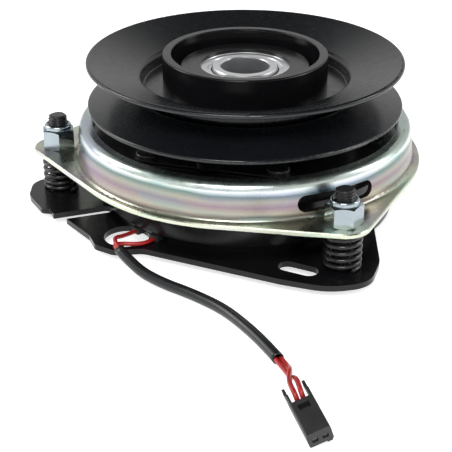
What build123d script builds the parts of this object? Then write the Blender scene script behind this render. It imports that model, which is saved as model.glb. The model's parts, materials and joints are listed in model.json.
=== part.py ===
from build123d import *
import os
from math import cos, pi, radians, sin, tan

os.makedirs("parts", exist_ok=True)

# Electromagnetic clutch and brake of an engine's power take-off, lying on its mounting
# plate with the pulley up. Millimetres, +Z along the shaft towards the pulley, origin on
# the shaft axis at the level that the clutch lies on.

# ---------------------------------------------------------------- driving dimensions
SHAFT_R = 12.7
KEY_WIDTH = 6.35
KEY_TOP_R = 15.9

PLATE_LOW = 4.0
PLATE_TOP = 7.0
PLATE_R = 79.5

STUD_R = 5.0
STUD_CIRCLE_R = 100.0
STUD_ANGLES = [-62.6, 177.4, 57.4]
STUD_TOP = 48.6
STUD_HEAD_R = 10.0

FIELD_R = 73.2
FIELD_WALL = 3.2
FIELD_FLOOR_TOP = 10.5
FIELD_TOP = 33.0
FIELD_HUB_R = 38.0
FIELD_BEARING_R = 34.0

ROTOR_R = 77.0
ROTOR_LOW = 10.5
ROTOR_FACE = 39.4
ROTOR_DISC_R = 82.0
ROTOR_DISC_LOW = 34.6
ROTOR_HUB_R = 23.0
ROTOR_HUB_TOP = 45.0
FIELD_SEAT_R = 20.0
POLE_GAP = 0.6

ARMATURE_LOW = 39.85
ARMATURE_TOP = 45.75
ARMATURE_R = 82.5
ARMATURE_BORE_R = 54.0

BRAKE_SHEET = 2.6
FLANGE_LOW = 27.9
FLANGE_TOP = FLANGE_LOW + BRAKE_SHEET
FLANGE_R = 93.0
EAR_R = 13.2
WALL_TOP_R = 87.3
WALL_BASE_R = 89.5
LIP_R = 80.0
LIP_TOP = 49.5
LIP_LOW = LIP_TOP - BRAKE_SHEET
WINDOW_LENGTH = 43.0
WINDOW_HEIGHT = 8.4
WINDOW_MIDDLE = 38.0
WINDOW_TURN = 2.4

NUT_FLATS = 16.0
NUT_HEX_HEIGHT = 10.8
NUT_HEIGHT = 13.2
NUT_TURN = [-6.0, 38.0, 10.0]
NUT_BORE_R = STUD_R + 0.05

SPRING_R = 8.25
SPRING_WIRE_R = 1.22
SPRING_TURNS = 5

LEAF_LOW = 46.25
LEAF_TOP = 47.05
LEAF_WIDTH = 13.0
LEAF_HALF_ANGLE = 29.5
LEAF_CENTRES = [-106.5, 13.5, 133.5]
LEAF_END_R = 68.2
LEAF_MIDDLE_R = LEAF_END_R * cos(radians(LEAF_HALF_ANGLE))
LEAF_HOLE_R = 2.7
RIVET_R = 2.5
LEAF_PLAY = 0.03

PULLEY_R = 82.5
RIM_TOP = 83.0
LOWER_RIM_TOP = 59.3
GROOVE_SLOPE = tan(radians(18))
SHEET = 2.6
SHEET_RISE = SHEET / cos(radians(18))
TROUGH_R = 53.7
WEB_LOW = 62.3
HUB_R = 43.0
HUB_TOP = 84.8
HUB_RECESS_R = 38.4
HUB_BOSS_R = 33.5
HUB_BOSS_TOP = 78.4
HUB_GROOVE_FLOOR = 69.5
HUB_FOOT_TOP = LEAF_TOP + 3.0

BEARING_WIDTH = 15.0
PULLEY_BEARING_LOW = 61.9
PULLEY_BEARING_R = 26.0
FIELD_BEARING_LOW = 9.0
BALL_PLAY = 0.05
POCKET_PLAY = 0.03

LEAD_R = 1.1
SLEEVE_R = 2.75
GROMMET_ANGLES = [-126.5, -136.0]
GROMMET_FACE_R = 78.0
LEAD_HEIGHT = 8.2

CONNECTOR_LENGTH = 25.0
CONNECTOR_WIDTH = 10.4
CONNECTOR_HEIGHT = 7.2


# ---------------------------------------------------------------- helpers
def polar(radius, angle):
    """The point at that radius and angle, in degrees."""
    return (radius * cos(radians(angle)), radius * sin(radians(angle)))


def outline(points, radii=0):
    """The closed face through the points, with its corners rounded."""
    with BuildSketch() as shape:
        with BuildLine():
            FilletPolyline(*points, radius=radii, close=True)
        make_face()
    return shape.sketch


def band(inner, outer, low, high):
    """The section of a plain ring, as (radius, height)."""
    return outline([(inner, low), (outer, low), (outer, high), (inner, high)])


def sector(inner, outer, middle, half_angle):
    """A piece of a flat ring, half_angle degrees to each side of its middle."""
    reach = outer / cos(radians(half_angle)) + 1
    edges = [(0, 0), polar(reach, middle - half_angle), polar(reach, middle + half_angle)]
    with BuildSketch() as shape:
        Circle(outer)
        Circle(inner, mode=Mode.SUBTRACT)
        add(outline(edges), mode=Mode.INTERSECT)
    return shape.sketch


def split_ring(inner, outer, gap_angle, gap):
    """A flat retaining ring, open by the gap at that angle."""
    with BuildSketch() as shape:
        Circle(outer)
        Circle(inner, mode=Mode.SUBTRACT)
        with Locations(Location((*polar((inner + outer) / 2, gap_angle), 0), gap_angle)):
            Rectangle(2 * (outer - inner), gap, mode=Mode.SUBTRACT)
    return shape.sketch


def race(inner, outer, low, pitch_r, ball_r):
    """The section of a bearing ring with its ball groove."""
    with BuildSketch() as shape:
        add(band(inner, outer, low, low + BEARING_WIDTH))
        with Locations((pitch_r, low + BEARING_WIDTH / 2)):
            Circle(ball_r + BALL_PLAY, mode=Mode.SUBTRACT)
    return shape.sketch


STUDS = [polar(STUD_CIRCLE_R, angle) for angle in STUD_ANGLES]
LEAF_ENDS = [
    polar(LEAF_END_R, centre + side * LEAF_HALF_ANGLE) for centre in LEAF_CENTRES for side in (-1, 1)
]
LEAF_MIDDLES = [polar(LEAF_MIDDLE_R, centre) for centre in LEAF_CENTRES]


# ---------------------------------------------------------------- mounting plate
TORQUE_SLOT_ANGLE = -160.4
TORQUE_SLOT_WIDTH = 8.0
LEAD_HOLE = (-60.0, -57.0)
LEAD_HOLE_R = 11.5
CLOSED_SLOT = (24.8, -91.3)
CLOSED_SLOT_ANGLE = -27.0

LEFT_EAR = [(-70, 42), (-101, 21), (-116, 8), (-116, -8), (-107, -25), (-102.5, -25.5), (-100, -32)]
LEAD_LOBE = [(-93.5, -36), (-79, -56), (-75.5, -66), (-65.5, -72.5), (-51, -70.8)]
RIGHT_EAR = [(16, -102), (38, -109.8), (58.5, -105), (65, -84), (66, -42)]
BACK_EAR = [(78, 40), (74, 72), (68, 96), (50, 104), (34, 96), (24, 76)]

with BuildPart() as mounting_plate:
    with BuildSketch(Plane.XY.offset(PLATE_LOW)):
        Circle(PLATE_R)
        add(outline([(0, 0)] + LEFT_EAR, [0, 0, 14, 11, 12, 3, 2, 1]))
        add(outline([(0, 0)] + LEAD_LOBE + RIGHT_EAR, [0, 1, 6, 5, 7, 10, 60, 30, 15, 25, 10]))
        add(outline([(0, 0)] + BACK_EAR, [0, 10, 12, 12, 12, 12, 10]))
        with Locations(Location((*polar(95, TORQUE_SLOT_ANGLE), 0), TORQUE_SLOT_ANGLE)):
            SlotOverall(42, TORQUE_SLOT_WIDTH, mode=Mode.SUBTRACT)
        with Locations(LEAD_HOLE):
            Circle(LEAD_HOLE_R, mode=Mode.SUBTRACT)
        with Locations(Location((*CLOSED_SLOT, 0), CLOSED_SLOT_ANGLE)):
            SlotOverall(20.5, 9.6, mode=Mode.SUBTRACT)
        with Locations(*STUDS):
            Circle(STUD_R, mode=Mode.SUBTRACT)
        Circle(FIELD_BEARING_R - 3, mode=Mode.SUBTRACT)
    extrude(amount=PLATE_TOP - PLATE_LOW)
    fillet(mounting_plate.edges().filter_by(Plane.XY).group_by(Axis.Z)[-1].sort_by(SortBy.LENGTH)[-1:], 0.6)
mounting_plate.part.label = "mounting_plate"
export_step(mounting_plate.part, "parts/mounting_plate.step")

# Studs with their heads pressed against the underside of the plate.
with BuildPart() as brake_studs:
    with BuildSketch(Plane.XY):
        with Locations(*STUDS):
            Circle(STUD_HEAD_R)
    extrude(amount=PLATE_LOW)
    chamfer(brake_studs.edges().group_by(Axis.Z)[0], 0.8)
    with BuildSketch(Plane.XY.offset(PLATE_LOW)):
        with Locations(*STUDS):
            Circle(STUD_R)
    extrude(amount=STUD_TOP - PLATE_LOW)
    chamfer(brake_studs.edges().group_by(Axis.Z)[-1], 0.9)
brake_studs.part.label = "brake_studs"
export_step(brake_studs.part, "parts/brake_studs.step")

# ---------------------------------------------------------------- field
GROMMET_WIDTH = 5.4
GROMMET_TOP = 10.1
RING_WIDTH = 1.5

with BuildPart() as field_shell:
    with BuildSketch(Plane.XZ):
        add(band(FIELD_BEARING_R - 3, FIELD_BEARING_R, PLATE_TOP, FIELD_BEARING_LOW))
        add(band(FIELD_BEARING_R, FIELD_HUB_R, PLATE_TOP, FIELD_TOP))
        add(band(FIELD_HUB_R, FIELD_R, PLATE_TOP, FIELD_FLOOR_TOP))
        add(band(FIELD_R - FIELD_WALL, FIELD_R, FIELD_FLOOR_TOP, FIELD_TOP))
        ring_low = FIELD_BEARING_LOW + BEARING_WIDTH
        ring_groove = band(FIELD_BEARING_R, FIELD_BEARING_R + 1.5, ring_low, ring_low + RING_WIDTH)
        add(ring_groove, mode=Mode.SUBTRACT)
    revolve(axis=Axis.Z)
    for angle in GROMMET_ANGLES:
        with BuildSketch(Plane(origin=(*polar(FIELD_R - 6, angle), PLATE_TOP), x_dir=(*polar(1, angle), 0))):
            Rectangle(16, GROMMET_WIDTH)
        extrude(amount=GROMMET_TOP - PLATE_TOP + 1.4, mode=Mode.SUBTRACT)
field_shell.part.label = "field_shell"
export_step(field_shell.part, "parts/field_shell.step")

with BuildPart() as lead_grommets:
    for angle in GROMMET_ANGLES:
        with BuildSketch(Plane(origin=(*polar(70.0, angle), PLATE_TOP), x_dir=(*polar(1, angle), 0))):
            Rectangle(2 * (GROMMET_FACE_R - 70.0), GROMMET_WIDTH - 0.4)
        extrude(amount=GROMMET_TOP - PLATE_TOP)
    fillet(lead_grommets.edges().filter_by(Axis.Z), 0.8)
lead_grommets.part.label = "lead_grommets"
export_step(lead_grommets.part, "parts/lead_grommets.step")

BOBBIN_LOW = 12.0
BOBBIN_TOP = 30.6
BOBBIN_FLANGE = 1.4
BOBBIN_R = 67.6

with BuildPart() as coil_bobbin:
    with BuildSketch(Plane.XZ):
        add(band(FIELD_HUB_R + 0.6, FIELD_HUB_R + 2.2, BOBBIN_LOW, BOBBIN_TOP))
        add(band(FIELD_HUB_R + 2.2, BOBBIN_R, BOBBIN_LOW, BOBBIN_LOW + BOBBIN_FLANGE))
        add(band(FIELD_HUB_R + 2.2, BOBBIN_R, BOBBIN_TOP - BOBBIN_FLANGE, BOBBIN_TOP))
    revolve(axis=Axis.Z)
coil_bobbin.part.label = "coil_bobbin"
export_step(coil_bobbin.part, "parts/coil_bobbin.step")

with BuildPart() as coil_winding:
    with BuildSketch(Plane.XZ):
        add(band(FIELD_HUB_R + 2.2, BOBBIN_R - 1.2, BOBBIN_LOW + BOBBIN_FLANGE, BOBBIN_TOP - BOBBIN_FLANGE))
    revolve(axis=Axis.Z)
coil_winding.part.label = "coil_winding"
export_step(coil_winding.part, "parts/coil_winding.step")

with BuildPart() as coil_potting:
    with BuildSketch(Plane.XZ):
        add(band(FIELD_HUB_R, FIELD_R - FIELD_WALL, BOBBIN_TOP, FIELD_TOP - 0.6))
        add(band(BOBBIN_R, FIELD_R - FIELD_WALL, BOBBIN_LOW + 1.0, BOBBIN_TOP))
    revolve(axis=Axis.Z)
coil_potting.part.label = "coil_potting"
export_step(coil_potting.part, "parts/coil_potting.step")

with BuildPart() as field_snap_ring:
    ring_low = FIELD_BEARING_LOW + BEARING_WIDTH
    with BuildSketch(Plane.XY.offset(ring_low)):
        add(split_ring(FIELD_BEARING_R - 2.4, FIELD_BEARING_R + 1.4, 90, 9))
    extrude(amount=RING_WIDTH - 0.05)
field_snap_ring.part.label = "field_snap_ring"
export_step(field_snap_ring.part, "parts/field_snap_ring.step")

# ---------------------------------------------------------------- field bearing
FIELD_PITCH_R = 27.0
FIELD_BALL_R = 3.95
FIELD_BALLS = 12
CAGE_HALF = 5.0
CAGE_THICKNESS = 2.6

with BuildPart() as field_bearing_outer_ring:
    with BuildSketch(Plane.XZ):
        add(race(29.8, FIELD_BEARING_R, FIELD_BEARING_LOW, FIELD_PITCH_R, FIELD_BALL_R))
    revolve(axis=Axis.Z)
field_bearing_outer_ring.part.label = "field_bearing_outer_ring"
export_step(field_bearing_outer_ring.part, "parts/field_bearing_outer_ring.step")

with BuildPart() as field_bearing_inner_ring:
    with BuildSketch(Plane.XZ):
        add(race(FIELD_SEAT_R, 24.2, FIELD_BEARING_LOW, FIELD_PITCH_R, FIELD_BALL_R))
    revolve(axis=Axis.Z)
field_bearing_inner_ring.part.label = "field_bearing_inner_ring"
export_step(field_bearing_inner_ring.part, "parts/field_bearing_inner_ring.step")

# ---------------------------------------------------------------- pulley bearing
PULLEY_PITCH_R = 19.7
PULLEY_BALL_R = 3.9
PULLEY_BALLS = 9
INNER_RING_PROUD = 0.8
SHIELD_R = 22.6
SHIELD_DEPTH = 0.2

with BuildPart() as pulley_bearing_outer_ring:
    with BuildSketch(Plane.XZ):
        add(race(22.0, PULLEY_BEARING_R, PULLEY_BEARING_LOW, PULLEY_PITCH_R, PULLEY_BALL_R))
        for low in (PULLEY_BEARING_LOW, PULLEY_BEARING_LOW + BEARING_WIDTH - 2.2):
            add(band(21.5, SHIELD_R, low, low + 2.2), mode=Mode.SUBTRACT)
    revolve(axis=Axis.Z)
pulley_bearing_outer_ring.part.label = "pulley_bearing_outer_ring"
export_step(pulley_bearing_outer_ring.part, "parts/pulley_bearing_outer_ring.step")

with BuildPart() as pulley_bearing_inner_ring:
    with BuildSketch(Plane.XZ):
        add(race(SHAFT_R, 17.2, PULLEY_BEARING_LOW, PULLEY_PITCH_R, PULLEY_BALL_R))
        ring_top = PULLEY_BEARING_LOW + BEARING_WIDTH
        add(band(SHAFT_R, 17.2, ring_top, ring_top + INNER_RING_PROUD))
    revolve(axis=Axis.Z)
    chamfer(pulley_bearing_inner_ring.edges().group_by(Axis.Z)[-1], 0.5)
pulley_bearing_inner_ring.part.label = "pulley_bearing_inner_ring"
export_step(pulley_bearing_inner_ring.part, "parts/pulley_bearing_inner_ring.step")

# Pressed shields, dished next to the inner ring.
with BuildPart() as pulley_bearing_shields:
    with BuildSketch(Plane.XZ):
        for face, way in ((PULLEY_BEARING_LOW + SHIELD_DEPTH, 1), (ring_top - SHIELD_DEPTH, -1)):
            outer_side = [(SHIELD_R, 0), (19.6, 0), (19.1, 1.1), (17.8, 1.1)]
            inner_side = [(17.8, 1.7), (19.6, 1.7), (20.1, 0.7), (SHIELD_R, 0.7)]
            add(outline([(r, face + way * z) for r, z in outer_side + inner_side]))
    revolve(axis=Axis.Z)
pulley_bearing_shields.part.label = "pulley_bearing_shields"
export_step(pulley_bearing_shields.part, "parts/pulley_bearing_shields.step")

# ---------------------------------------------------------------- balls and cages
for name, pitch_r, ball_r, count, low in (
    ("field_bearing", FIELD_PITCH_R, FIELD_BALL_R, FIELD_BALLS, FIELD_BEARING_LOW),
    ("pulley_bearing", PULLEY_PITCH_R, PULLEY_BALL_R, PULLEY_BALLS, PULLEY_BEARING_LOW),
):
    middle = low + BEARING_WIDTH / 2
    places = [(*polar(pitch_r, 360 / count * i), middle) for i in range(count)]
    half = CAGE_THICKNESS / 2
    with BuildPart() as balls:
        with Locations(*places):
            Sphere(ball_r)
    balls.part.label = f"{name}_balls"
    export_step(balls.part, f"parts/{name}_balls.step")

    with BuildPart() as cage:
        with BuildSketch(Plane.XZ):
            add(band(pitch_r - half, pitch_r + half, middle - CAGE_HALF, middle + CAGE_HALF))
        revolve(axis=Axis.Z)
        for i in range(count):
            outward = (*polar(1, 360 / count * i), 0)
            with BuildSketch(Plane(origin=(0, 0, middle), x_dir=(0, 0, 1), z_dir=outward)):
                Circle(ball_r + POCKET_PLAY)
            extrude(amount=pitch_r + CAGE_THICKNESS, mode=Mode.SUBTRACT)
    cage.part.label = f"{name}_cage"
    export_step(cage.part, f"parts/{name}_cage.step")

# ---------------------------------------------------------------- rotor
RING_GROOVE_LOW = FIELD_BEARING_LOW - RING_WIDTH

with BuildPart() as rotor_hub:
    with BuildSketch(Plane.XZ):
        add(band(SHAFT_R, FIELD_SEAT_R, 0, FIELD_BEARING_LOW + BEARING_WIDTH))
        add(band(SHAFT_R, ROTOR_HUB_R, FIELD_BEARING_LOW + BEARING_WIDTH, ROTOR_HUB_TOP))
        add(band(FIELD_SEAT_R - 1.2, FIELD_SEAT_R, RING_GROOVE_LOW, FIELD_BEARING_LOW), mode=Mode.SUBTRACT)
    revolve(axis=Axis.Z)
    with BuildSketch(Plane.XY):
        with Locations((0, KEY_TOP_R / 2)):
            Rectangle(KEY_WIDTH, KEY_TOP_R)
    extrude(amount=ROTOR_HUB_TOP, mode=Mode.SUBTRACT)
rotor_hub.part.label = "rotor_hub"
export_step(rotor_hub.part, "parts/rotor_hub.step")

with BuildPart() as rotor_snap_ring:
    with BuildSketch(Plane.XY.offset(RING_GROOVE_LOW)):
        add(split_ring(FIELD_SEAT_R - 1.1, FIELD_SEAT_R + 2.4, -90, 7))
    extrude(amount=RING_WIDTH - 0.05)
rotor_snap_ring.part.label = "rotor_snap_ring"
export_step(rotor_snap_ring.part, "parts/rotor_snap_ring.step")

FRICTION_INNER_R = 60.0
FRICTION_OUTER_R = 66.0
FRICTION_LOW = ROTOR_FACE - 2.4
INNER_POLE_LOW = 26.8
POLE_SLOT_ANGLES = [60 * i for i in range(6)]

# Pole disc with an inner and an outer rim that enclose the coil. Slots under the
# friction ring part the inner pole from the outer one.
with BuildPart() as rotor:
    with BuildSketch(Plane.XZ):
        add(band(ROTOR_HUB_R, FIELD_BEARING_R - POLE_GAP, INNER_POLE_LOW, ROTOR_FACE))
        add(band(ROTOR_HUB_R, ROTOR_DISC_R, ROTOR_DISC_LOW, ROTOR_FACE))
        add(band(FIELD_R + POLE_GAP, ROTOR_R, ROTOR_LOW, ROTOR_FACE))
        add(band(FRICTION_INNER_R, FRICTION_OUTER_R, FRICTION_LOW, ROTOR_FACE), mode=Mode.SUBTRACT)
    revolve(axis=Axis.Z)
    lower_edge = rotor.edges().filter_by(GeomType.CIRCLE).group_by(Axis.Z)[0].sort_by(SortBy.RADIUS)[-1]
    fillet(lower_edge, 0.8)
    with BuildSketch(Plane.XY.offset(ROTOR_DISC_LOW)):
        for angle in POLE_SLOT_ANGLES:
            add(sector(FRICTION_INNER_R + 1, FRICTION_OUTER_R - 1, angle, 22))
    extrude(amount=FRICTION_LOW - ROTOR_DISC_LOW, mode=Mode.SUBTRACT)
rotor.part.label = "rotor"
export_step(rotor.part, "parts/rotor.step")

with BuildPart() as rotor_friction_ring:
    with BuildSketch(Plane.XZ):
        add(band(FRICTION_INNER_R, FRICTION_OUTER_R, FRICTION_LOW, ROTOR_FACE))
    revolve(axis=Axis.Z)
rotor_friction_ring.part.label = "rotor_friction_ring"
export_step(rotor_friction_ring.part, "parts/rotor_friction_ring.step")

SPACER_R = 16.5

with BuildPart() as spacer_sleeve:
    with BuildSketch(Plane.XZ):
        add(band(SHAFT_R, SPACER_R, ROTOR_HUB_TOP, PULLEY_BEARING_LOW))
    revolve(axis=Axis.Z)
spacer_sleeve.part.label = "spacer_sleeve"
export_step(spacer_sleeve.part, "parts/spacer_sleeve.step")

# ---------------------------------------------------------------- pulley
HUB_FOOT_R = 53.0
LOBE_START_R = 40.0
LOBE_END_R = 68.8
LOBE_WIDTH = 16.0
BEARING_LIP_R = 23.3
BEARING_TOP = PULLEY_BEARING_LOW + BEARING_WIDTH
RETAINER_LOW = PULLEY_BEARING_LOW - RING_WIDTH

# Turned hub: a cup with a deep groove round the boss that holds the bearing.
with BuildPart() as pulley_hub:
    with BuildSketch(Plane.XZ):
        section = [
            (PULLEY_BEARING_R, LEAF_TOP),
            (HUB_R, LEAF_TOP),
            (HUB_R, HUB_TOP),
            (HUB_RECESS_R, HUB_TOP),
            (HUB_RECESS_R, HUB_GROOVE_FLOOR),
            (HUB_BOSS_R, HUB_GROOVE_FLOOR),
            (HUB_BOSS_R, HUB_BOSS_TOP),
            (BEARING_LIP_R, HUB_BOSS_TOP),
            (BEARING_LIP_R, BEARING_TOP),
            (PULLEY_BEARING_R, BEARING_TOP),
        ]
        add(outline(section, [0, 0, 0.8, 0.6, 1.0, 1.0, 0.5, 0.3, 0, 0]))
        retainer_groove = band(PULLEY_BEARING_R, PULLEY_BEARING_R + 1.4, RETAINER_LOW, PULLEY_BEARING_LOW)
        add(retainer_groove, mode=Mode.SUBTRACT)
    revolve(axis=Axis.Z)
    with BuildSketch(Plane.XY.offset(LEAF_TOP)):
        Circle(HUB_FOOT_R)
        for centre in LEAF_CENTRES:
            lobe_middle = polar((LOBE_START_R + LOBE_END_R) / 2, centre)
            with Locations(Location((*lobe_middle, 0), centre)):
                SlotOverall(LOBE_END_R - LOBE_START_R, LOBE_WIDTH)
        Circle(PULLEY_BEARING_R, mode=Mode.SUBTRACT)
        with Locations(*LEAF_MIDDLES):
            Circle(RIVET_R, mode=Mode.SUBTRACT)
    extrude(amount=HUB_FOOT_TOP - LEAF_TOP)
pulley_hub.part.label = "pulley_hub"
export_step(pulley_hub.part, "parts/pulley_hub.step")

with BuildPart() as pulley_snap_ring:
    with BuildSketch(Plane.XY.offset(RETAINER_LOW + 0.05)):
        add(split_ring(PULLEY_BEARING_R - 2.6, PULLEY_BEARING_R + 1.3, 20, 8))
    extrude(amount=RING_WIDTH - 0.05)
pulley_snap_ring.part.label = "pulley_snap_ring"
export_step(pulley_snap_ring.part, "parts/pulley_snap_ring.step")

# Dished upper flange: its trough wall stands on a foot welded to the lower flange.
FOOT_LOW = WEB_LOW + SHEET
FOOT_TOP = FOOT_LOW + SHEET
WALL_R = TROUGH_R + SHEET
TROUGH_TOP = RIM_TOP - (PULLEY_R - TROUGH_R) * GROOVE_SLOPE
UNDER_CONE = RIM_TOP - (PULLEY_R - WALL_R) * GROOVE_SLOPE - SHEET_RISE

with BuildPart() as pulley_upper_flange:
    with BuildSketch(Plane.XZ):
        section = [
            (PULLEY_R, RIM_TOP),
            (TROUGH_R, TROUGH_TOP),
            (TROUGH_R, FOOT_TOP),
            (HUB_R, FOOT_TOP),
            (HUB_R, FOOT_LOW),
            (WALL_R, FOOT_LOW),
            (WALL_R, UNDER_CONE),
            (PULLEY_R, RIM_TOP - SHEET_RISE),
        ]
        add(outline(section, [1.2, 3.4, 1.0, 0, 0, 3.4, 1.0, 1.2]))
    revolve(axis=Axis.Z)
pulley_upper_flange.part.label = "pulley_upper_flange"
export_step(pulley_upper_flange.part, "parts/pulley_upper_flange.step")

LOWER_ROOT_R = 59.0
LOWER_ROOT_TOP = LOWER_RIM_TOP + (PULLEY_R - LOWER_ROOT_R) * GROOVE_SLOPE

with BuildPart() as pulley_lower_flange:
    with BuildSketch(Plane.XZ):
        section = [
            (PULLEY_R, LOWER_RIM_TOP),
            (LOWER_ROOT_R, LOWER_ROOT_TOP),
            (WALL_R - 0.6, FOOT_LOW),
            (HUB_R, FOOT_LOW),
            (HUB_R, WEB_LOW),
            (WALL_R + 0.4, WEB_LOW),
            (LOWER_ROOT_R + 0.2, LOWER_ROOT_TOP - SHEET_RISE),
            (PULLEY_R, LOWER_RIM_TOP - SHEET_RISE),
        ]
        add(outline(section, [1.2, 2.4, 1.0, 0, 0, 2.4, 1.0, 1.2]))
    revolve(axis=Axis.Z)
pulley_lower_flange.part.label = "pulley_lower_flange"
export_step(pulley_lower_flange.part, "parts/pulley_lower_flange.step")

# ---------------------------------------------------------------- leaf springs and rivets
LEAF_LENGTH = 2 * LEAF_END_R * sin(radians(LEAF_HALF_ANGLE)) + LEAF_WIDTH

for number, centre in enumerate(LEAF_CENTRES, 1):
    with BuildPart() as leaf_spring:
        with BuildSketch(Plane.XY.offset(LEAF_LOW)):
            with Locations(Location((*polar(LEAF_MIDDLE_R, centre), 0), centre + 90)):
                SlotOverall(LEAF_LENGTH, LEAF_WIDTH)
            with Locations(polar(LEAF_MIDDLE_R, centre)):
                Circle(RIVET_R, mode=Mode.SUBTRACT)
            for side in (-1, 1):
                with Locations(polar(LEAF_END_R, centre + side * LEAF_HALF_ANGLE)):
                    Circle(LEAF_HOLE_R, mode=Mode.SUBTRACT)
        extrude(amount=LEAF_TOP - LEAF_LOW)
    leaf_spring.part.label = f"leaf_spring_{number}"
    export_step(leaf_spring.part, f"parts/leaf_spring_{number}.step")

HUB_RIVET_HEAD_R = 4.5
HUB_RIVET_LOW = 44.9
HUB_RIVET_TOP = 52.0

with BuildPart() as spring_hub_rivets:
    for radius, low, high in (
        (HUB_RIVET_HEAD_R, HUB_RIVET_LOW, LEAF_LOW),
        (RIVET_R, LEAF_LOW, HUB_FOOT_TOP),
        (HUB_RIVET_HEAD_R, HUB_FOOT_TOP, HUB_RIVET_TOP),
    ):
        with BuildSketch(Plane.XY.offset(low)):
            with Locations(*LEAF_MIDDLES):
                Circle(radius)
        extrude(amount=high - low)
    chamfer(spring_hub_rivets.edges().group_by(Axis.Z)[-1], 0.7)
spring_hub_rivets.part.label = "spring_hub_rivets"
export_step(spring_hub_rivets.part, "parts/spring_hub_rivets.step")

# ---------------------------------------------------------------- armature
RIVET_ROOT = 41.0
RIVET_HEAD_R = 5.8
RIVET_HEAD_TOP = 49.4
CLEARANCE_HOLE_R = 7.0

with BuildPart() as armature_plate:
    with BuildSketch(Plane.XY.offset(ARMATURE_LOW)):
        Circle(ARMATURE_R)
        Circle(ARMATURE_BORE_R, mode=Mode.SUBTRACT)
        with Locations(*LEAF_MIDDLES):
            Circle(CLEARANCE_HOLE_R, mode=Mode.SUBTRACT)
    extrude(amount=ARMATURE_TOP - ARMATURE_LOW)
    with BuildSketch(Plane.XY.offset(RIVET_ROOT)):
        with Locations(*LEAF_ENDS):
            Circle(RIVET_R)
    extrude(amount=ARMATURE_TOP - RIVET_ROOT, mode=Mode.SUBTRACT)
    chamfer(armature_plate.faces().sort_by(Axis.Z)[-1].outer_wire().edges(), 0.5)
armature_plate.part.label = "armature_plate"
export_step(armature_plate.part, "parts/armature_plate.step")

with BuildPart() as armature_rivets:
    for radius, low, high in (
        (RIVET_R, RIVET_ROOT, RIVET_HEAD_TOP - 1),
        (RIVET_HEAD_R, ARMATURE_TOP, LEAF_LOW - LEAF_PLAY),
        (RIVET_HEAD_R, LEAF_TOP + LEAF_PLAY, RIVET_HEAD_TOP),
    ):
        with BuildSketch(Plane.XY.offset(low)):
            with Locations(*LEAF_ENDS):
                Circle(radius)
        extrude(amount=high - low)
    fillet(armature_rivets.edges().group_by(Axis.Z)[-1], 1.4)
armature_rivets.part.label = "armature_rivets"
export_step(armature_rivets.part, "parts/armature_rivets.step")

# ---------------------------------------------------------------- brake plate
STUD_HOLE_R = STUD_R + 0.35

with BuildPart() as brake_plate:
    with BuildSketch(Plane.XY.offset(FLANGE_LOW)):
        Circle(FLANGE_R)
        with Locations(*STUDS):
            Circle(EAR_R)
        make_hull()
    extrude(amount=BRAKE_SHEET)
    chamfer(brake_plate.edges().group_by(Axis.Z)[-1] + brake_plate.edges().group_by(Axis.Z)[0], 0.5)
    with BuildSketch(Plane.XZ):
        wall = [
            (LIP_R, LIP_TOP),
            (WALL_TOP_R, LIP_TOP),
            (WALL_BASE_R, FLANGE_TOP),
            (FLANGE_R - 1, FLANGE_TOP),
            (FLANGE_R - 1, FLANGE_LOW),
            (LIP_R, FLANGE_LOW),
        ]
        add(outline(wall, [0.9, 4.0, 2.2, 0, 0, 0]))
    revolve(axis=Axis.Z)
    with BuildSketch(Plane.XZ):
        inside = [
            (0, FLANGE_LOW),
            (WALL_BASE_R - BRAKE_SHEET, FLANGE_LOW),
            (WALL_TOP_R - BRAKE_SHEET, LIP_LOW),
            (LIP_R, LIP_LOW),
            (LIP_R, LIP_TOP),
            (0, LIP_TOP),
        ]
        add(outline(inside, [0, 0, 1.4, 0, 0, 0]))
    revolve(axis=Axis.Z, mode=Mode.SUBTRACT)
    with BuildSketch(Plane.XY.offset(FLANGE_LOW)):
        with Locations(*STUDS):
            Circle(STUD_HOLE_R)
    extrude(amount=BRAKE_SHEET, mode=Mode.SUBTRACT)
    for angle in STUD_ANGLES:
        outward = (*polar(1, angle + WINDOW_TURN), 0)
        sideways = (*polar(1, angle + WINDOW_TURN + 90), 0)
        start = (*polar(ARMATURE_BORE_R, angle + WINDOW_TURN), WINDOW_MIDDLE)
        with BuildSketch(Plane(origin=start, x_dir=sideways, z_dir=outward)):
            SlotOverall(WINDOW_LENGTH, WINDOW_HEIGHT)
        extrude(amount=FLANGE_R - ARMATURE_BORE_R, mode=Mode.SUBTRACT)
brake_plate.part.label = "brake_plate"
export_step(brake_plate.part, "parts/brake_plate.step")

LINING_LOW = ARMATURE_TOP + 0.05

with BuildPart() as brake_lining:
    with BuildSketch(Plane.XY.offset(LINING_LOW)):
        for angle in STUD_ANGLES:
            add(sector(LIP_R + 0.2, ARMATURE_R - 0.3, angle + 60, 24))
    extrude(amount=LIP_LOW - LINING_LOW)
brake_lining.part.label = "brake_lining"
export_step(brake_lining.part, "parts/brake_lining.step")

# ---------------------------------------------------------------- brake springs and nuts
SPRING_PLAY = 0.03
SPRING_LOW = PLATE_TOP + SPRING_WIRE_R + SPRING_PLAY
SPRING_RISE = FLANGE_LOW - SPRING_WIRE_R - SPRING_PLAY - SPRING_LOW
COLLAR_R = 7.1
NUT_CORNER_R = NUT_FLATS / 2 / cos(radians(30))
INSERT_R = 6.3
INSERT_LOW = 10.2
INSERT_TOP = 12.3

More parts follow.
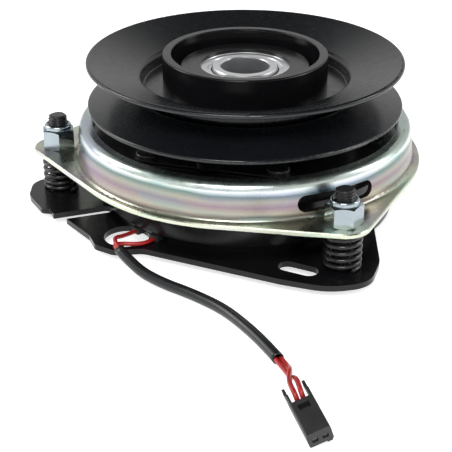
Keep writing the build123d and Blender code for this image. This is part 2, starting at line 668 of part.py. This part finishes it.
for number, ((x, y), turn) in enumerate(zip(STUDS, NUT_TURN), 1):
    with BuildPart() as brake_spring:
        with BuildLine() as coil:
            Helix(SPRING_RISE / SPRING_TURNS, SPRING_RISE, SPRING_R, center=(x, y, SPRING_LOW))
        with BuildSketch(Plane(origin=coil.line @ 0, z_dir=coil.line % 0)):
            Circle(SPRING_WIRE_R)
        sweep(path=coil.line, is_frenet=True)
    brake_spring.part.label = f"brake_spring_{number}"
    export_step(brake_spring.part, f"parts/brake_spring_{number}.step")

    upright = Plane(origin=(x, y, FLANGE_TOP), x_dir=(1, 0, 0), z_dir=(0, -1, 0))
    stud_axis = Axis((x, y, 0), (0, 0, 1))
    with BuildPart() as adjusting_nut:
        with BuildSketch(Plane(origin=(x, y, FLANGE_TOP))):
            RegularPolygon(NUT_FLATS / 2, 6, major_radius=False, rotation=turn)
        extrude(amount=NUT_HEX_HEIGHT)
        with BuildSketch(upright):
            turned = [
                (0, 0),
                (NUT_FLATS / 2, 0),
                (NUT_CORNER_R, 0.9),
                (NUT_CORNER_R, NUT_HEX_HEIGHT - 1),
                (COLLAR_R + 0.3, NUT_HEX_HEIGHT),
                (0, NUT_HEX_HEIGHT),
            ]
            add(outline(turned))
        revolve(axis=stud_axis, mode=Mode.INTERSECT)
        with BuildSketch(upright):
            collar_low = NUT_HEX_HEIGHT - 1
            collar = [(0, collar_low), (COLLAR_R, collar_low), (COLLAR_R, NUT_HEIGHT), (0, NUT_HEIGHT)]
            add(outline(collar, [0, 0, 1.3, 0]))
        revolve(axis=stud_axis)
        with BuildSketch(upright):
            add(band(0, NUT_BORE_R, 0, NUT_HEIGHT))
            add(band(0, INSERT_R, INSERT_LOW, INSERT_TOP))
            add(band(0, NUT_BORE_R + 0.6, INSERT_TOP, NUT_HEIGHT))
        revolve(axis=stud_axis, mode=Mode.SUBTRACT)
    adjusting_nut.part.label = f"adjusting_nut_{number}"
    export_step(adjusting_nut.part, f"parts/adjusting_nut_{number}.step")

    with BuildPart() as nut_insert:
        with BuildSketch(upright):
            add(band(NUT_BORE_R, INSERT_R, INSERT_LOW, INSERT_TOP))
        revolve(axis=stud_axis)
    nut_insert.part.label = f"nut_insert_{number}"
    export_step(nut_insert.part, f"parts/nut_insert_{number}.step")

# ---------------------------------------------------------------- connector
# Laid on its lower front edge and the latch under it, with the back end raised.
CONNECTOR_BACK = (20.4, -200.2)
CONNECTOR_HEADING = -73.0
CONNECTOR_PITCH = 6.0
CONNECTOR_ROLL = 19.0
LEAD_POCKET = (5.2, 7.6)
LEAD_POCKET_FLOOR = 2.0
WINDOW_SIZE = (3.2, 5.0)
WINDOW_PLACE = 9.4
WINDOW_FLOOR = 4.6
SOCKET_DEPTH = 12.0
SOCKET_SIZE = (2.0, 2.6)
TERMINAL_SIDE = 2.2
ARM_SIDE = 4.5
ARM_LENGTH = 6.0

roll = radians(CONNECTOR_ROLL)
slope = Vector(*polar(1, CONNECTOR_HEADING), -tan(radians(CONNECTOR_PITCH))).normalized()
level = Vector(*polar(1, CONNECTOR_HEADING + 90), 0)
upward = slope.cross(level) * cos(roll) - level * sin(roll)
sideways = upward.cross(slope)
corner_drop = -slope.Z * CONNECTOR_LENGTH + sideways.Z * CONNECTOR_WIDTH / 2
seat = Plane(origin=(*CONNECTOR_BACK, corner_drop), x_dir=slope, z_dir=upward)

with BuildPart() as connector_housing:
    with BuildSketch(seat):
        with Locations((CONNECTOR_LENGTH / 2, 0)):
            Rectangle(CONNECTOR_LENGTH, CONNECTOR_WIDTH)
    extrude(amount=CONNECTOR_HEIGHT)
    long_edges = [e for e in connector_housing.edges() if abs((e % 0).dot(slope)) > 0.99]
    fillet(long_edges, 0.8)
    with BuildSketch(seat.offset(1.5)):
        for y in (-ARM_SIDE, ARM_SIDE):
            with Locations((1 - ARM_LENGTH / 2, y)):
                Rectangle(ARM_LENGTH + 2, 1.3)
    extrude(amount=3.6)
    with BuildSketch(seat.offset(LEAD_POCKET_FLOOR)):
        with Locations((LEAD_POCKET[0] / 2 - 0.5, 0)):
            Rectangle(LEAD_POCKET[0] + 1, LEAD_POCKET[1])
    extrude(amount=CONNECTOR_HEIGHT, mode=Mode.SUBTRACT)
    with BuildSketch(seat.offset(WINDOW_FLOOR)):
        with Locations((WINDOW_PLACE, 0)):
            Rectangle(*WINDOW_SIZE)
    extrude(amount=CONNECTOR_HEIGHT, mode=Mode.SUBTRACT)
    with BuildSketch(seat.offset(2.0)):
        for y in (-TERMINAL_SIDE, TERMINAL_SIDE):
            with Locations((CONNECTOR_LENGTH - SOCKET_DEPTH / 2, y)):
                Rectangle(SOCKET_DEPTH, SOCKET_SIZE[1])
    extrude(amount=SOCKET_SIZE[0], mode=Mode.SUBTRACT)
connector_housing.part.label = "connector_housing"
export_step(connector_housing.part, "parts/connector_housing.step")

with BuildPart() as connector_terminals:
    with BuildSketch(seat.offset(2.0)):
        for y in (-TERMINAL_SIDE, TERMINAL_SIDE):
            with Locations((CONNECTOR_LENGTH - SOCKET_DEPTH / 2 - 0.5, y)):
                Rectangle(SOCKET_DEPTH - 1, 2.0)
    extrude(amount=1.4)
connector_terminals.part.label = "connector_terminals"
export_step(connector_terminals.part, "parts/connector_terminals.step")

LATCH_END = 23.0
LATCH_SIDE = 2.4
latch_drop = corner_drop + slope.Z * LATCH_END + sideways.Z * LATCH_SIDE

with BuildPart() as connector_latch:
    with BuildSketch(seat):
        with Locations((LATCH_END - 6, LATCH_SIDE + 1.2)):
            Rectangle(12, 2.4)
    extrude(amount=-latch_drop / upward.Z)
connector_latch.part.label = "connector_latch"
export_step(connector_latch.part, "parts/connector_latch.step")

# ---------------------------------------------------------------- leads
# Routes hold the centre line's corner points. The leads leave the shell under the rotor,
# cross the lead hole and the plate's edge, and share one sleeve to the connector.
SLEEVE_ROUTE = [
    (-62.2, -76.3, 9.5),
    (-53.8, -87.4, 5.0),
    (-41.0, -97.8, 2.9),
    (-26.5, -108.0, 2.75),
    (-11.5, -121.8, 2.75),
    (-1.3, -137.2, 2.75),
    (7.3, -153.0, 2.75),
    (12.6, -164.9, 2.75),
]
LEAD_OFFSET = 1.2
PLUG_LEAD_OFFSET = 1.25
POCKET_END = 3.6
GROMMET_RUN = 4.7


def heading(start, end):
    """The unit vector from one point to the other."""
    return (Vector(*end) - Vector(*start)).normalized()


def corner_radii(route):
    """The tangent arc at each corner, as large as its shorter run has room for."""
    radii = []
    for before, here, after in zip(route, route[1:], route[2:]):
        run_in = Vector(*here) - Vector(*before)
        run_out = Vector(*after) - Vector(*here)
        half_turn = radians(run_in.get_angle(run_out)) / 2
        radii.append(0.45 * min(run_in.length, run_out.length) / tan(half_turn))
    return radii


mouth = Vector(*SLEEVE_ROUTE[0])
mouth_heading = heading(*SLEEVE_ROUTE[:2])
mouth_rise = (Vector(0, 0, 1) - mouth_heading * mouth_heading.Z).normalized() * LEAD_OFFSET
tail = Vector(*SLEEVE_ROUTE[-1])
tail_heading = heading(*SLEEVE_ROUTE[-2:])
tail_side = tail_heading.rotate(Axis.Z, 90) * PLUG_LEAD_OFFSET

CROSSINGS = [
    [(-55.0, -68.4, 8.3), (-60.6, -67.9, 8.4), (-65.0, -69.6, 9.0)],
    [(-62.0, -62.9, 9.9), (-65.2, -67.4, 11.4)],
]
ROUTES = {"lead_sleeve": (SLEEVE_ROUTE, SLEEVE_R)}

for number, (angle, middle_points, side, last_run) in enumerate(
    zip(GROMMET_ANGLES, CROSSINGS, (-1, 1), (3.4, 3.8)), 1
):
    mouth_end = mouth + mouth_rise * side
    ROUTES[f"coil_lead_{number}"] = (
        [
            (*polar(GROMMET_FACE_R, angle), LEAD_HEIGHT),
            (*polar(GROMMET_FACE_R + GROMMET_RUN, angle), LEAD_HEIGHT),
            *middle_points,
            tuple(mouth_end - mouth_heading * last_run),
            tuple(mouth_end),
        ],
        LEAD_R,
    )

for number, side in enumerate((-1, 1), 1):
    pocket_side = sideways * -side * PLUG_LEAD_OFFSET
    pocket = seat.origin + slope * POCKET_END
    ROUTES[f"plug_lead_{number}"] = (
        [
            tuple(tail + tail_side * side),
            tuple(tail + tail_side * side + tail_heading * 7.5),
            (16.9, -182.0, 6.6 + side * 2.3),
            tuple(Vector(17.2, -192.5, 10.6) + pocket_side * 1.5),
            tuple(pocket + upward * 9.4 + pocket_side),
            tuple(pocket + upward * LEAD_POCKET_FLOOR + pocket_side),
        ],
        LEAD_R,
    )

for name, (route, radius) in ROUTES.items():
    with BuildPart() as cord:
        with BuildLine() as centre_line:
            FilletPolyline(*route, radius=corner_radii(route))
        path = centre_line.wires()[0]
        with BuildSketch(Plane(origin=path @ 0, z_dir=path % 0)):
            Circle(radius)
        sweep(path=path)
    share = cord.part.volume / (pi * radius**2 * path.length)
    print(name, "length", round(path.length, 1), "volume share", round(share, 4))
    print("  corner radii", [round(r, 1) for r in corner_radii(route)])
    print("  route", [tuple(round(c, 2) for c in point) for point in route])
    cord.part.label = name
    export_step(cord.part, f"parts/{name}.step")
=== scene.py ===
import json
from math import cos, pi, radians, sin

import bmesh
import bpy
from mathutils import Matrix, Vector


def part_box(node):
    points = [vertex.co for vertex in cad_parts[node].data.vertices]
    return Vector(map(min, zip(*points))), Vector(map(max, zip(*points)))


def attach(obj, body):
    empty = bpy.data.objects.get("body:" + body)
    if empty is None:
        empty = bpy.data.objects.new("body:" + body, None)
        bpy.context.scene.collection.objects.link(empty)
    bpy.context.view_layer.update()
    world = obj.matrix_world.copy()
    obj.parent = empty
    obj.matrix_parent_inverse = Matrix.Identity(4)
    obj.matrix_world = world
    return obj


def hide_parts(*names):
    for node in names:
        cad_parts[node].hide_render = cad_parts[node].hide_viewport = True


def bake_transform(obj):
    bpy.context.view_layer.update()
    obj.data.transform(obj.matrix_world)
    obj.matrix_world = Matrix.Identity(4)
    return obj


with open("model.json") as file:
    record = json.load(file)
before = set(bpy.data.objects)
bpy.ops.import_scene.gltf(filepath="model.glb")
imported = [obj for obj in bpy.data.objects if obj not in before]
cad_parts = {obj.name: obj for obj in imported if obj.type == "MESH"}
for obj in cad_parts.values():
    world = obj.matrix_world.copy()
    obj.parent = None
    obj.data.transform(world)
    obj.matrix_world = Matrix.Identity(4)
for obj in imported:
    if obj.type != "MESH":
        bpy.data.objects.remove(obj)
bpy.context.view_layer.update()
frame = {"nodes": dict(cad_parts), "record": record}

MM = 0.001


def mm(x, y, z):
    """A point given in millimetres, in metres."""
    return Vector((x * MM, y * MM, z * MM))


def polar(radius, angle, height=0.0):
    """A point in millimetres at that radius and angle round the shaft, in metres."""
    return mm(radius * cos(radians(angle)), radius * sin(radians(angle)), height)


def link(name, data):
    """A new object in the scene."""
    obj = bpy.data.objects.new(name, data)
    bpy.context.scene.collection.objects.link(obj)
    return obj


# ---------------------------------------------------------------- camera
CAMERA_PLACE = (-9.93, -632.57, 301.3)
LOOKING_DOWN = 26.63

camera_data = bpy.data.cameras.new("camera")
camera_data.sensor_width = 36.0
camera_data.lens = 101.95
camera_data.clip_start = 0.01
camera = link("camera", camera_data)
camera.location = mm(*CAMERA_PLACE)
camera.rotation_euler = (radians(90 - LOOKING_DOWN), 0, 0)
bpy.context.scene.camera = camera


# ---------------------------------------------------------------- cords
def spline_curve(name, points, radius, caps=True):
    """A round cord along a smooth NURBS line whose control points are in millimetres.

    The radius is on the points, with a bevel of 1 m, because a curve's box is its points and their radius.
    """
    data = bpy.data.curves.new(name, "CURVE")
    data.dimensions = "3D"
    spline = data.splines.new("NURBS")
    spline.points.add(len(points) - 1)
    for point, place in zip(spline.points, points):
        point.co = (*mm(*place), 1.0)
        point.radius = radius * MM
    spline.order_u = 3
    spline.use_endpoint_u = True
    spline.resolution_u = 10
    data.bevel_depth = 1.0
    data.bevel_resolution = 6
    data.use_fill_caps = caps
    return link(name, data)


LEAD_R = 1.1
SLEEVE_R = 2.75
SLEEVE_WALL = 0.5
SLEEVE_ROUTE = [
    (-62.2, -76.3, 9.5),
    (-53.8, -87.4, 5.0),
    (-41.0, -97.8, 2.9),
    (-26.5, -108.0, 2.75),
    (-11.5, -121.8, 2.75),
    (-1.3, -137.2, 2.75),
    (7.3, -153.0, 2.75),
    (12.6, -164.9, 2.75),
]
COIL_LEAD_ROUTES = [
    [
        (-46.4, -62.7, 8.2),
        (-49.2, -66.5, 8.2),
        (-55.0, -68.4, 8.3),
        (-60.6, -67.9, 8.4),
        (-65.0, -69.6, 9.0),
        (-64.4, -73.4, 9.4),
        (-62.4, -76.0, 8.4),
        (-60.2, -78.9, 7.3),
    ],
    [
        (-56.1, -54.2, 8.2),
        (-59.5, -57.4, 8.2),
        (-62.0, -62.9, 9.9),
        (-65.2, -67.4, 11.4),
        (-64.2, -73.7, 11.8),
        (-62.0, -76.6, 10.6),
        (-59.8, -79.5, 9.4),
    ],
]
PLUG_LEAD_ROUTES = [
    [
        (11.46, -165.41, 2.75),
        (14.5, -172.3, 2.75),
        (16.9, -182.0, 4.3),
        (18.9, -192.0, 11.2),
        (19.93, -205.1, 13.16),
        (22.02, -203.7, 6.21),
    ],
    [
        (13.74, -164.39, 2.75),
        (16.8, -171.2, 2.75),
        (16.9, -182.0, 8.9),
        (15.5, -193.0, 10.0),
        (17.65, -205.71, 12.36),
        (19.74, -204.31, 5.4),
    ],
]


def red_leads(name, node, routes):
    """The leads along those routes, each in place of its CAD lead."""
    leads = []
    for number, route in enumerate(routes, 1):
        lead = spline_curve(f"{name}_{number}", route, LEAD_R)
        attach(lead, "field")
        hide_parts(f"{node}_{number}")
        leads.append(lead)
    return leads


sleeve = spline_curve("sleeve", SLEEVE_ROUTE, SLEEVE_R, caps=False)
shell = sleeve.modifiers.new("wall", "SOLIDIFY")
shell.thickness = SLEEVE_WALL * MM
shell.offset = -1.0
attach(sleeve, "field")
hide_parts("lead_sleeve")

coil_leads = red_leads("coil_wire", "coil_lead", COIL_LEAD_ROUTES)
plug_leads = red_leads("plug_wire", "plug_lead", PLUG_LEAD_ROUTES)


# ---------------------------------------------------------------- material nodes
class Shader:
    """One material's node tree, with short calls for the nodes that this scene uses."""

    def __init__(self, name):
        self.material = bpy.data.materials.new(name)
        self.material.use_nodes = True
        self.tree = self.material.node_tree
        self.surface = self.tree.nodes["Principled BSDF"]
        self.where = self.node("ShaderNodeTexCoord").outputs["Object"]

    def node(self, kind, **settings):
        made = self.tree.nodes.new(kind)
        for key, value in settings.items():
            setattr(made, key, value)
        return made

    def wire(self, source, target):
        self.tree.links.new(source, target)

    def set(self, **values):
        for key, value in values.items():
            self.surface.inputs[key.replace("_", " ")].default_value = value

    def stretch(self, scale):
        """Object coordinates, scaled by a different amount along each axis."""
        mapping = self.node("ShaderNodeMapping")
        mapping.inputs["Scale"].default_value = scale
        self.wire(self.where, mapping.inputs["Vector"])
        return mapping.outputs["Vector"]

    def ring_place(self):
        """(distance from the shaft axis, height) as a vector, for turned surfaces."""
        parts = self.node("ShaderNodeSeparateXYZ")
        self.wire(self.where, parts.inputs[0])
        flat = self.node("ShaderNodeCombineXYZ")
        self.wire(parts.outputs["X"], flat.inputs["X"])
        self.wire(parts.outputs["Y"], flat.inputs["Y"])
        length = self.node("ShaderNodeVectorMath", operation="LENGTH")
        self.wire(flat.outputs[0], length.inputs[0])
        place = self.node("ShaderNodeCombineXYZ")
        self.wire(length.outputs["Value"], place.inputs["X"])
        self.wire(parts.outputs["Z"], place.inputs["Z"])
        return place.outputs[0]

    def noise(self, scale, detail=4.0, rough=0.5, place=None):
        made = self.node("ShaderNodeTexNoise")
        made.inputs["Scale"].default_value = scale
        made.inputs["Detail"].default_value = detail
        made.inputs["Roughness"].default_value = rough
        self.wire(place or self.where, made.inputs["Vector"])
        return made.outputs["Fac"]

    def ramp(self, value, stops):
        made = self.node("ShaderNodeValToRGB")
        spots = made.color_ramp.elements
        for spot, (position, _) in zip(spots, stops):
            spot.position = position
        for position, _ in stops[2:]:
            spots.new(position)
        for spot, (position, colour) in zip(spots, stops):
            spot.position = position
            spot.color = (*colour, 1.0)
        self.wire(value, made.inputs["Fac"])
        return made.outputs["Color"]

    def mix(self, amount, first, second, kind="MIX"):
        made = self.node("ShaderNodeMix", data_type="RGBA", blend_type=kind)
        for socket, value in ((0, amount), (6, first), (7, second)):
            if isinstance(value, (int, float)):
                made.inputs[socket].default_value = value
            elif isinstance(value, tuple):
                made.inputs[socket].default_value = (*value, 1.0)
            else:
                self.wire(value, made.inputs[socket])
        return made.outputs[2]

    def span(self, value, low, high):
        """The value from 0 to 1, spread from low to high."""
        made = self.node("ShaderNodeMapRange")
        made.inputs["To Min"].default_value = low
        made.inputs["To Max"].default_value = high
        made.inputs["From Min"].default_value = 0.25
        made.inputs["From Max"].default_value = 0.75
        self.wire(value, made.inputs["Value"])
        return made.outputs[0]

    def bump(self, height, strength, depth_mm):
        made = self.node("ShaderNodeBump")
        made.inputs["Strength"].default_value = strength
        made.inputs["Distance"].default_value = depth_mm * MM
        self.wire(height, made.inputs["Height"])
        self.wire(made.outputs[0], self.surface.inputs["Normal"])


def plain(name, dark, light, rough, metal=0.0, grain=300.0, bump=(0.15, 0.02), turned=False, **more):
    """A finish with colour, roughness and relief that vary with a fine noise."""
    s = Shader(name)
    place = s.ring_place() if turned else None
    cloud = s.noise(grain / 12, 5.0, 0.55)
    s.wire(s.ramp(cloud, [(0.3, dark), (0.7, light)]), s.surface.inputs["Base Color"])
    fine = s.noise(grain * (5 if turned else 1), 3.0, 0.6, place)
    s.wire(s.span(fine, rough[0], rough[1]), s.surface.inputs["Roughness"])
    s.bump(fine, *bump)
    s.set(Metallic=metal, **more)
    return s.material


# Heights on the brake plate, in metres: where its bands of painted reflection, painted highlight and
# painted shade start, how far they go up, and their waver.
WALL_FOOT = 0.031
BAND_RISE = 0.022
DRIFT = 0.006


def yellow_zinc():
    """Bright zinc under a thin film, whose colour follows the height up the wall and drifts along it; the
    bands by height are painted reflections, with a painted highlight on the shoulder and painted shade in
    the crease at the wall's foot, and only the tint that drifts is the film's own colour.
    """
    s = Shader("yellow_zinc")
    s.set(Metallic=1.0)
    drift = s.noise(16.0, 3.0, 0.5, s.stretch((1.0, 1.0, 5.0)))
    parts = s.node("ShaderNodeSeparateXYZ")
    s.wire(s.where, parts.inputs[0])
    level = s.node("ShaderNodeMath", operation="MULTIPLY_ADD")
    s.wire(drift, level.inputs[0])
    level.inputs[1].default_value = DRIFT
    s.wire(parts.outputs["Z"], level.inputs[2])
    height = s.node("ShaderNodeMapRange")
    height.inputs["From Min"].default_value = WALL_FOOT
    height.inputs["From Max"].default_value = WALL_FOOT + BAND_RISE
    s.wire(level.outputs[0], height.inputs["Value"])
    # Painted light: these bands by height paint the wall's reflections, a pale-blue painted highlight on
    # the shoulder and a dark line of painted shade in the crease at the wall's foot.
    painted_light_bands = s.ramp(
        height.outputs[0],
        [
            (0.10, (0.62, 0.66, 0.58)),
            (0.19, (0.17, 0.14, 0.14)),
            (0.28, (0.40, 0.37, 0.33)),
            (0.45, (0.28, 0.22, 0.27)),
            (0.58, (0.36, 0.35, 0.33)),
            (0.71, (0.15, 0.22, 0.23)),
            (0.82, (0.74, 0.82, 0.85)),
            (0.94, (0.46, 0.54, 0.54)),
        ],
    )
    hue = s.ramp(
        drift,
        [
            (0.36, (0.78, 1.0, 0.96)),
            (0.45, (1.0, 1.0, 0.86)),
            (0.54, (1.0, 0.97, 0.92)),
            (0.62, (0.94, 0.86, 1.0)),
        ],
    )
    grain = s.noise(220.0, 4.0, 0.5)
    tone = s.mix(0.8, painted_light_bands, hue, "MULTIPLY")
    tone = s.mix(0.2, tone, s.ramp(grain, [(0.35, (0.8, 0.8, 0.78)), (0.65, (1.0, 1.0, 1.0))]), "MULTIPLY")
    s.wire(tone, s.surface.inputs["Base Color"])
    s.wire(s.span(grain, 0.24, 0.34), s.surface.inputs["Roughness"])
    return s.material


# Each plain finish: dark and light colour, lowest and highest roughness, and what else is not usual.
PLAIN_FINISHES = {
    "black_paint": dict(
        dark=(0.003, 0.003, 0.0035), light=(0.006, 0.006, 0.007), rough=(0.16, 0.26), grain=300.0,
        bump=(0.03, 0.01), Specular_IOR_Level=0.3,
    ),
    "pulley_black": dict(
        dark=(0.004, 0.005, 0.006), light=(0.007, 0.008, 0.010), rough=(0.2, 0.3), grain=260.0,
        bump=(0.01, 0.01),
    ),
    "black_oxide": dict(
        dark=(0.008, 0.008, 0.009), light=(0.02, 0.02, 0.021), rough=(0.22, 0.4), grain=700.0,
    ),
    "zinc": dict(
        dark=(0.30, 0.36, 0.39), light=(0.46, 0.52, 0.55), rough=(0.16, 0.3), metal=1.0, grain=420.0,
        bump=(0.05, 0.01),
    ),
    "bearing_steel": dict(
        dark=(0.66, 0.66, 0.67), light=(0.84, 0.85, 0.86), rough=(0.25, 0.4), metal=1.0, grain=500.0,
        turned=True,
    ),
    "spring_steel": dict(
        dark=(0.04, 0.04, 0.045), light=(0.08, 0.08, 0.085), rough=(0.25, 0.45), metal=0.9, grain=350.0,
    ),
    "black_spring": dict(
        dark=(0.006, 0.006, 0.007), light=(0.015, 0.015, 0.016), rough=(0.2, 0.34), grain=700.0,
    ),
    "rotor_steel": dict(
        dark=(0.1, 0.1, 0.105), light=(0.2, 0.2, 0.2), rough=(0.3, 0.5), metal=1.0, grain=400.0,
        turned=True,
    ),
    "friction": dict(
        dark=(0.05, 0.042, 0.035), light=(0.13, 0.11, 0.09), rough=(0.7, 0.9), grain=900.0,
        bump=(0.5, 0.1),
    ),
    "winding": dict(
        dark=(0.4, 0.13, 0.05), light=(0.6, 0.25, 0.1), rough=(0.25, 0.4), metal=1.0, grain=800.0,
        turned=True,
    ),
    "bobbin": dict(
        dark=(0.02, 0.02, 0.02), light=(0.04, 0.04, 0.04), rough=(0.45, 0.6),
    ),
    "potting": dict(
        dark=(0.006, 0.006, 0.006), light=(0.015, 0.015, 0.015), rough=(0.15, 0.3),
    ),
    "grommet": dict(
        dark=(0.012, 0.012, 0.012), light=(0.025, 0.025, 0.025), rough=(0.55, 0.75),
    ),
    "insert": dict(
        dark=(0.35, 0.36, 0.34), light=(0.5, 0.5, 0.48), rough=(0.4, 0.55),
    ),
    "grey_plastic": dict(
        dark=(0.010, 0.010, 0.011), light=(0.019, 0.019, 0.020), rough=(0.4, 0.55), grain=1400.0,
        bump=(0.2, 0.02),
    ),
    "terminal": dict(
        dark=(0.3, 0.29, 0.26), light=(0.42, 0.4, 0.36), rough=(0.25, 0.4), metal=1.0,
    ),
    "sleeve": dict(
        dark=(0.004, 0.005, 0.006), light=(0.010, 0.011, 0.012), rough=(0.28, 0.4), grain=500.0,
    ),
    "red_wire": dict(
        dark=(0.30, 0.008, 0.008), light=(0.46, 0.02, 0.018), rough=(0.25, 0.4), grain=500.0,
    ),
}
FINISHES = {name: plain(name, **settings) for name, settings in PLAIN_FINISHES.items()}
FINISHES["yellow_zinc"] = yellow_zinc()

for entry in frame["record"]["subparts"]:
    slots = frame["nodes"][entry["node"]].data.materials
    slots.clear()
    slots.append(FINISHES[entry["material_slot"]])
sleeve.data.materials.append(FINISHES["sleeve"])
for lead in coil_leads + plug_leads:
    lead.data.materials.append(FINISHES["red_wire"])

# ---------------------------------------------------------------- threaded studs
STUD_ANGLES = [-62.6, 177.4, 57.4]
STUD_CIRCLE_R = 100.0
STUD_R = 5.0
THREAD_DEPTH = 0.8
THREAD_PITCH = 1.5
THREAD_STEPS = 8
THREAD_LOW = 9.0
TIP_CHAMFER = 1.0
HEAD_RINGS = [(0.0, 9.0), (0.3, 9.6), (0.9, 10.0), (3.6, 10.0), (4.0, 9.7)]
SHANK_LOW = 3.9
SIDES = 48


def lathe(mesh, centre, rings):
    """Adds a closed surface through rings of (height, radius or function of angle)."""
    rows = []
    for height, radius in rings:
        row = []
        for i in range(SIDES):
            angle = 2 * pi * i / SIDES
            r = radius(angle) if callable(radius) else radius
            row.append(mesh.verts.new(centre + mm(r * cos(angle), r * sin(angle), height)))
        rows.append(row)
    for lower, upper in zip(rows, rows[1:]):
        for i in range(SIDES):
            j = (i + 1) % SIDES
            mesh.faces.new((lower[i], lower[j], upper[j], upper[i]))
    mesh.faces.new(rows[0][::-1])
    mesh.faces.new(rows[-1])


def thread_radius(height, end_taper):
    """The thread's radius at that height, as a function of the angle round the stud."""

    def radius(angle):
        phase = (height / THREAD_PITCH - angle / (2 * pi)) % 1.0
        wave = min(1.0, max(0.0, 2.6 * abs(phase - 0.5) - 0.15))
        return STUD_R - THREAD_DEPTH * wave - end_taper

    return radius


def as_object(name, mesh, material):
    """The bmesh as an object in the scene."""
    data = bpy.data.meshes.new(name)
    mesh.to_mesh(data)
    mesh.free()
    data.materials.append(material)
    return link(name, data)


stud_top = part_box("brake_studs")[1][2] / MM
mesh = bmesh.new()
for angle in STUD_ANGLES:
    centre = polar(STUD_CIRCLE_R, angle)
    lathe(mesh, centre, HEAD_RINGS)
    rings = [(SHANK_LOW, STUD_R), (THREAD_LOW, STUD_R)]
    steps = int((stud_top - THREAD_LOW) / THREAD_PITCH * THREAD_STEPS)
    for step in range(1, steps + 1):
        height = THREAD_LOW + (stud_top - THREAD_LOW) * step / steps
        taper = max(0.0, height - (stud_top - TIP_CHAMFER)) * 0.9
        rings.append((height, thread_radius(height, taper)))
    lathe(mesh, centre, rings)
bmesh.ops.recalc_face_normals(mesh, faces=mesh.faces)
studs = as_object("threaded_studs", mesh, FINISHES["black_oxide"])
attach(studs, "field")
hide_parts("brake_studs")

# ---------------------------------------------------------------- brake springs
SPRING_R = 8.25
SPRING_WIRE_R = 1.22
SPRING_TURNS = 5.7
END_TURN = 0.75
CLOSED_RISE = 2 * SPRING_WIRE_R * 0.92
POINTS_PER_TURN = 36
FOOT_RIGID = 0.002
HEAD_RIGID = 0.001


def spring_height(turn, low, high):
    """The wire's height after so many turns, with closed turns at both ends."""
    if turn < END_TURN:
        return low + CLOSED_RISE * turn
    if turn > SPRING_TURNS - END_TURN:
        return high - CLOSED_RISE * (SPRING_TURNS - turn)
    share = (turn - END_TURN) / (SPRING_TURNS - 2 * END_TURN)
    start = low + CLOSED_RISE * END_TURN
    return start + share * (high - CLOSED_RISE * END_TURN - start)


for number, angle in enumerate(STUD_ANGLES, 1):
    low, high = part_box(f"brake_spring_{number}")
    centre = polar(STUD_CIRCLE_R, angle)
    bottom = low[2] / MM + SPRING_WIRE_R
    top = high[2] / MM - SPRING_WIRE_R
    data = bpy.data.curves.new("spring_line", "CURVE")
    data.dimensions = "3D"
    spline = data.splines.new("POLY")
    count = int(SPRING_TURNS * POINTS_PER_TURN)
    spline.points.add(count)
    for i, point in enumerate(spline.points):
        turn = SPRING_TURNS * i / count
        bend = 2 * pi * turn + radians(angle)
        place = centre + mm(SPRING_R * cos(bend), SPRING_R * sin(bend), spring_height(turn, bottom, top))
        point.co = (*place, 1.0)
    data.bevel_depth = SPRING_WIRE_R * MM
    data.bevel_resolution = 4
    data.use_fill_caps = True
    line = link("spring_line", data)
    mesh_data = bpy.data.meshes.new_from_object(line.evaluated_get(bpy.context.evaluated_depsgraph_get()))
    bpy.data.objects.remove(line)
    spring = link(f"return_spring_{number}", mesh_data)
    mesh_data.materials.clear()
    mesh_data.materials.append(FINISHES["black_spring"])
    foot, head = Vector(centre), Vector(centre)
    foot.z, head.z = low[2] + FOOT_RIGID, high[2] - HEAD_RIGID
    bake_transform(spring)
    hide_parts(f"brake_spring_{number}")

# ---------------------------------------------------------------- floor and light
FLOOR_HALF = 3.0
FLOOR_HEIGHT = -0.0002

mesh = bmesh.new()
bmesh.ops.create_grid(mesh, x_segments=1, y_segments=1, size=FLOOR_HALF)
floor_finish = plain(
    "floor",
    (0.82, 0.82, 0.82),
    (0.85, 0.85, 0.85),
    (0.75, 0.85),
    grain=60.0,
    bump=(0.02, 0.02),
    Emission_Color=(1.0, 1.0, 1.0, 1.0),
    Emission_Strength=0.7,
)
floor = as_object("floor", mesh, floor_finish)
floor.location.z = FLOOR_HEIGHT

# The sky's brightness by height, from the horizon at 0 to straight up at 1.
SKY = [(0.0, 0.5), (0.36, 0.85), (0.52, 0.75), (0.70, 0.04)]

world = bpy.data.worlds.new("studio")
world.use_nodes = True
sky = world.node_tree
up = sky.nodes.new("ShaderNodeSeparateXYZ")
fade = sky.nodes.new("ShaderNodeValToRGB")
sky.links.new(sky.nodes.new("ShaderNodeTexCoord").outputs["Generated"], up.inputs[0])
sky.links.new(up.outputs["Z"], fade.inputs["Fac"])
sky.links.new(fade.outputs["Color"], sky.nodes["Background"].inputs["Color"])
for height, _ in SKY[1:-1]:
    fade.color_ramp.elements.new(height)
for stop, (height, brightness) in zip(fade.color_ramp.elements, SKY):
    stop.position = height
    stop.color = (brightness, brightness, brightness, 1.0)
bpy.context.scene.world = world
bpy.context.scene.view_settings.view_transform = "Standard"


def softbox(name, place, size, power, aim=(0, 0, 40)):
    """An area light at that place, in millimetres, turned to the clutch."""
    data = bpy.data.lights.new(name, "AREA")
    data.shape = "RECTANGLE"
    data.size, data.size_y = size
    data.energy = power
    lamp = link(name, data)
    lamp.location = mm(*place)
    lamp.rotation_euler = (mm(*aim) - lamp.location).to_track_quat("-Z", "Y").to_euler()


softbox("front", (-250, -1250, 1350), (0.9, 0.5), 20.0)
softbox("left", (-1200, 250, 700), (0.5, 0.9), 8.0)
softbox("right", (1200, 100, 650), (0.4, 0.9), 5.0)
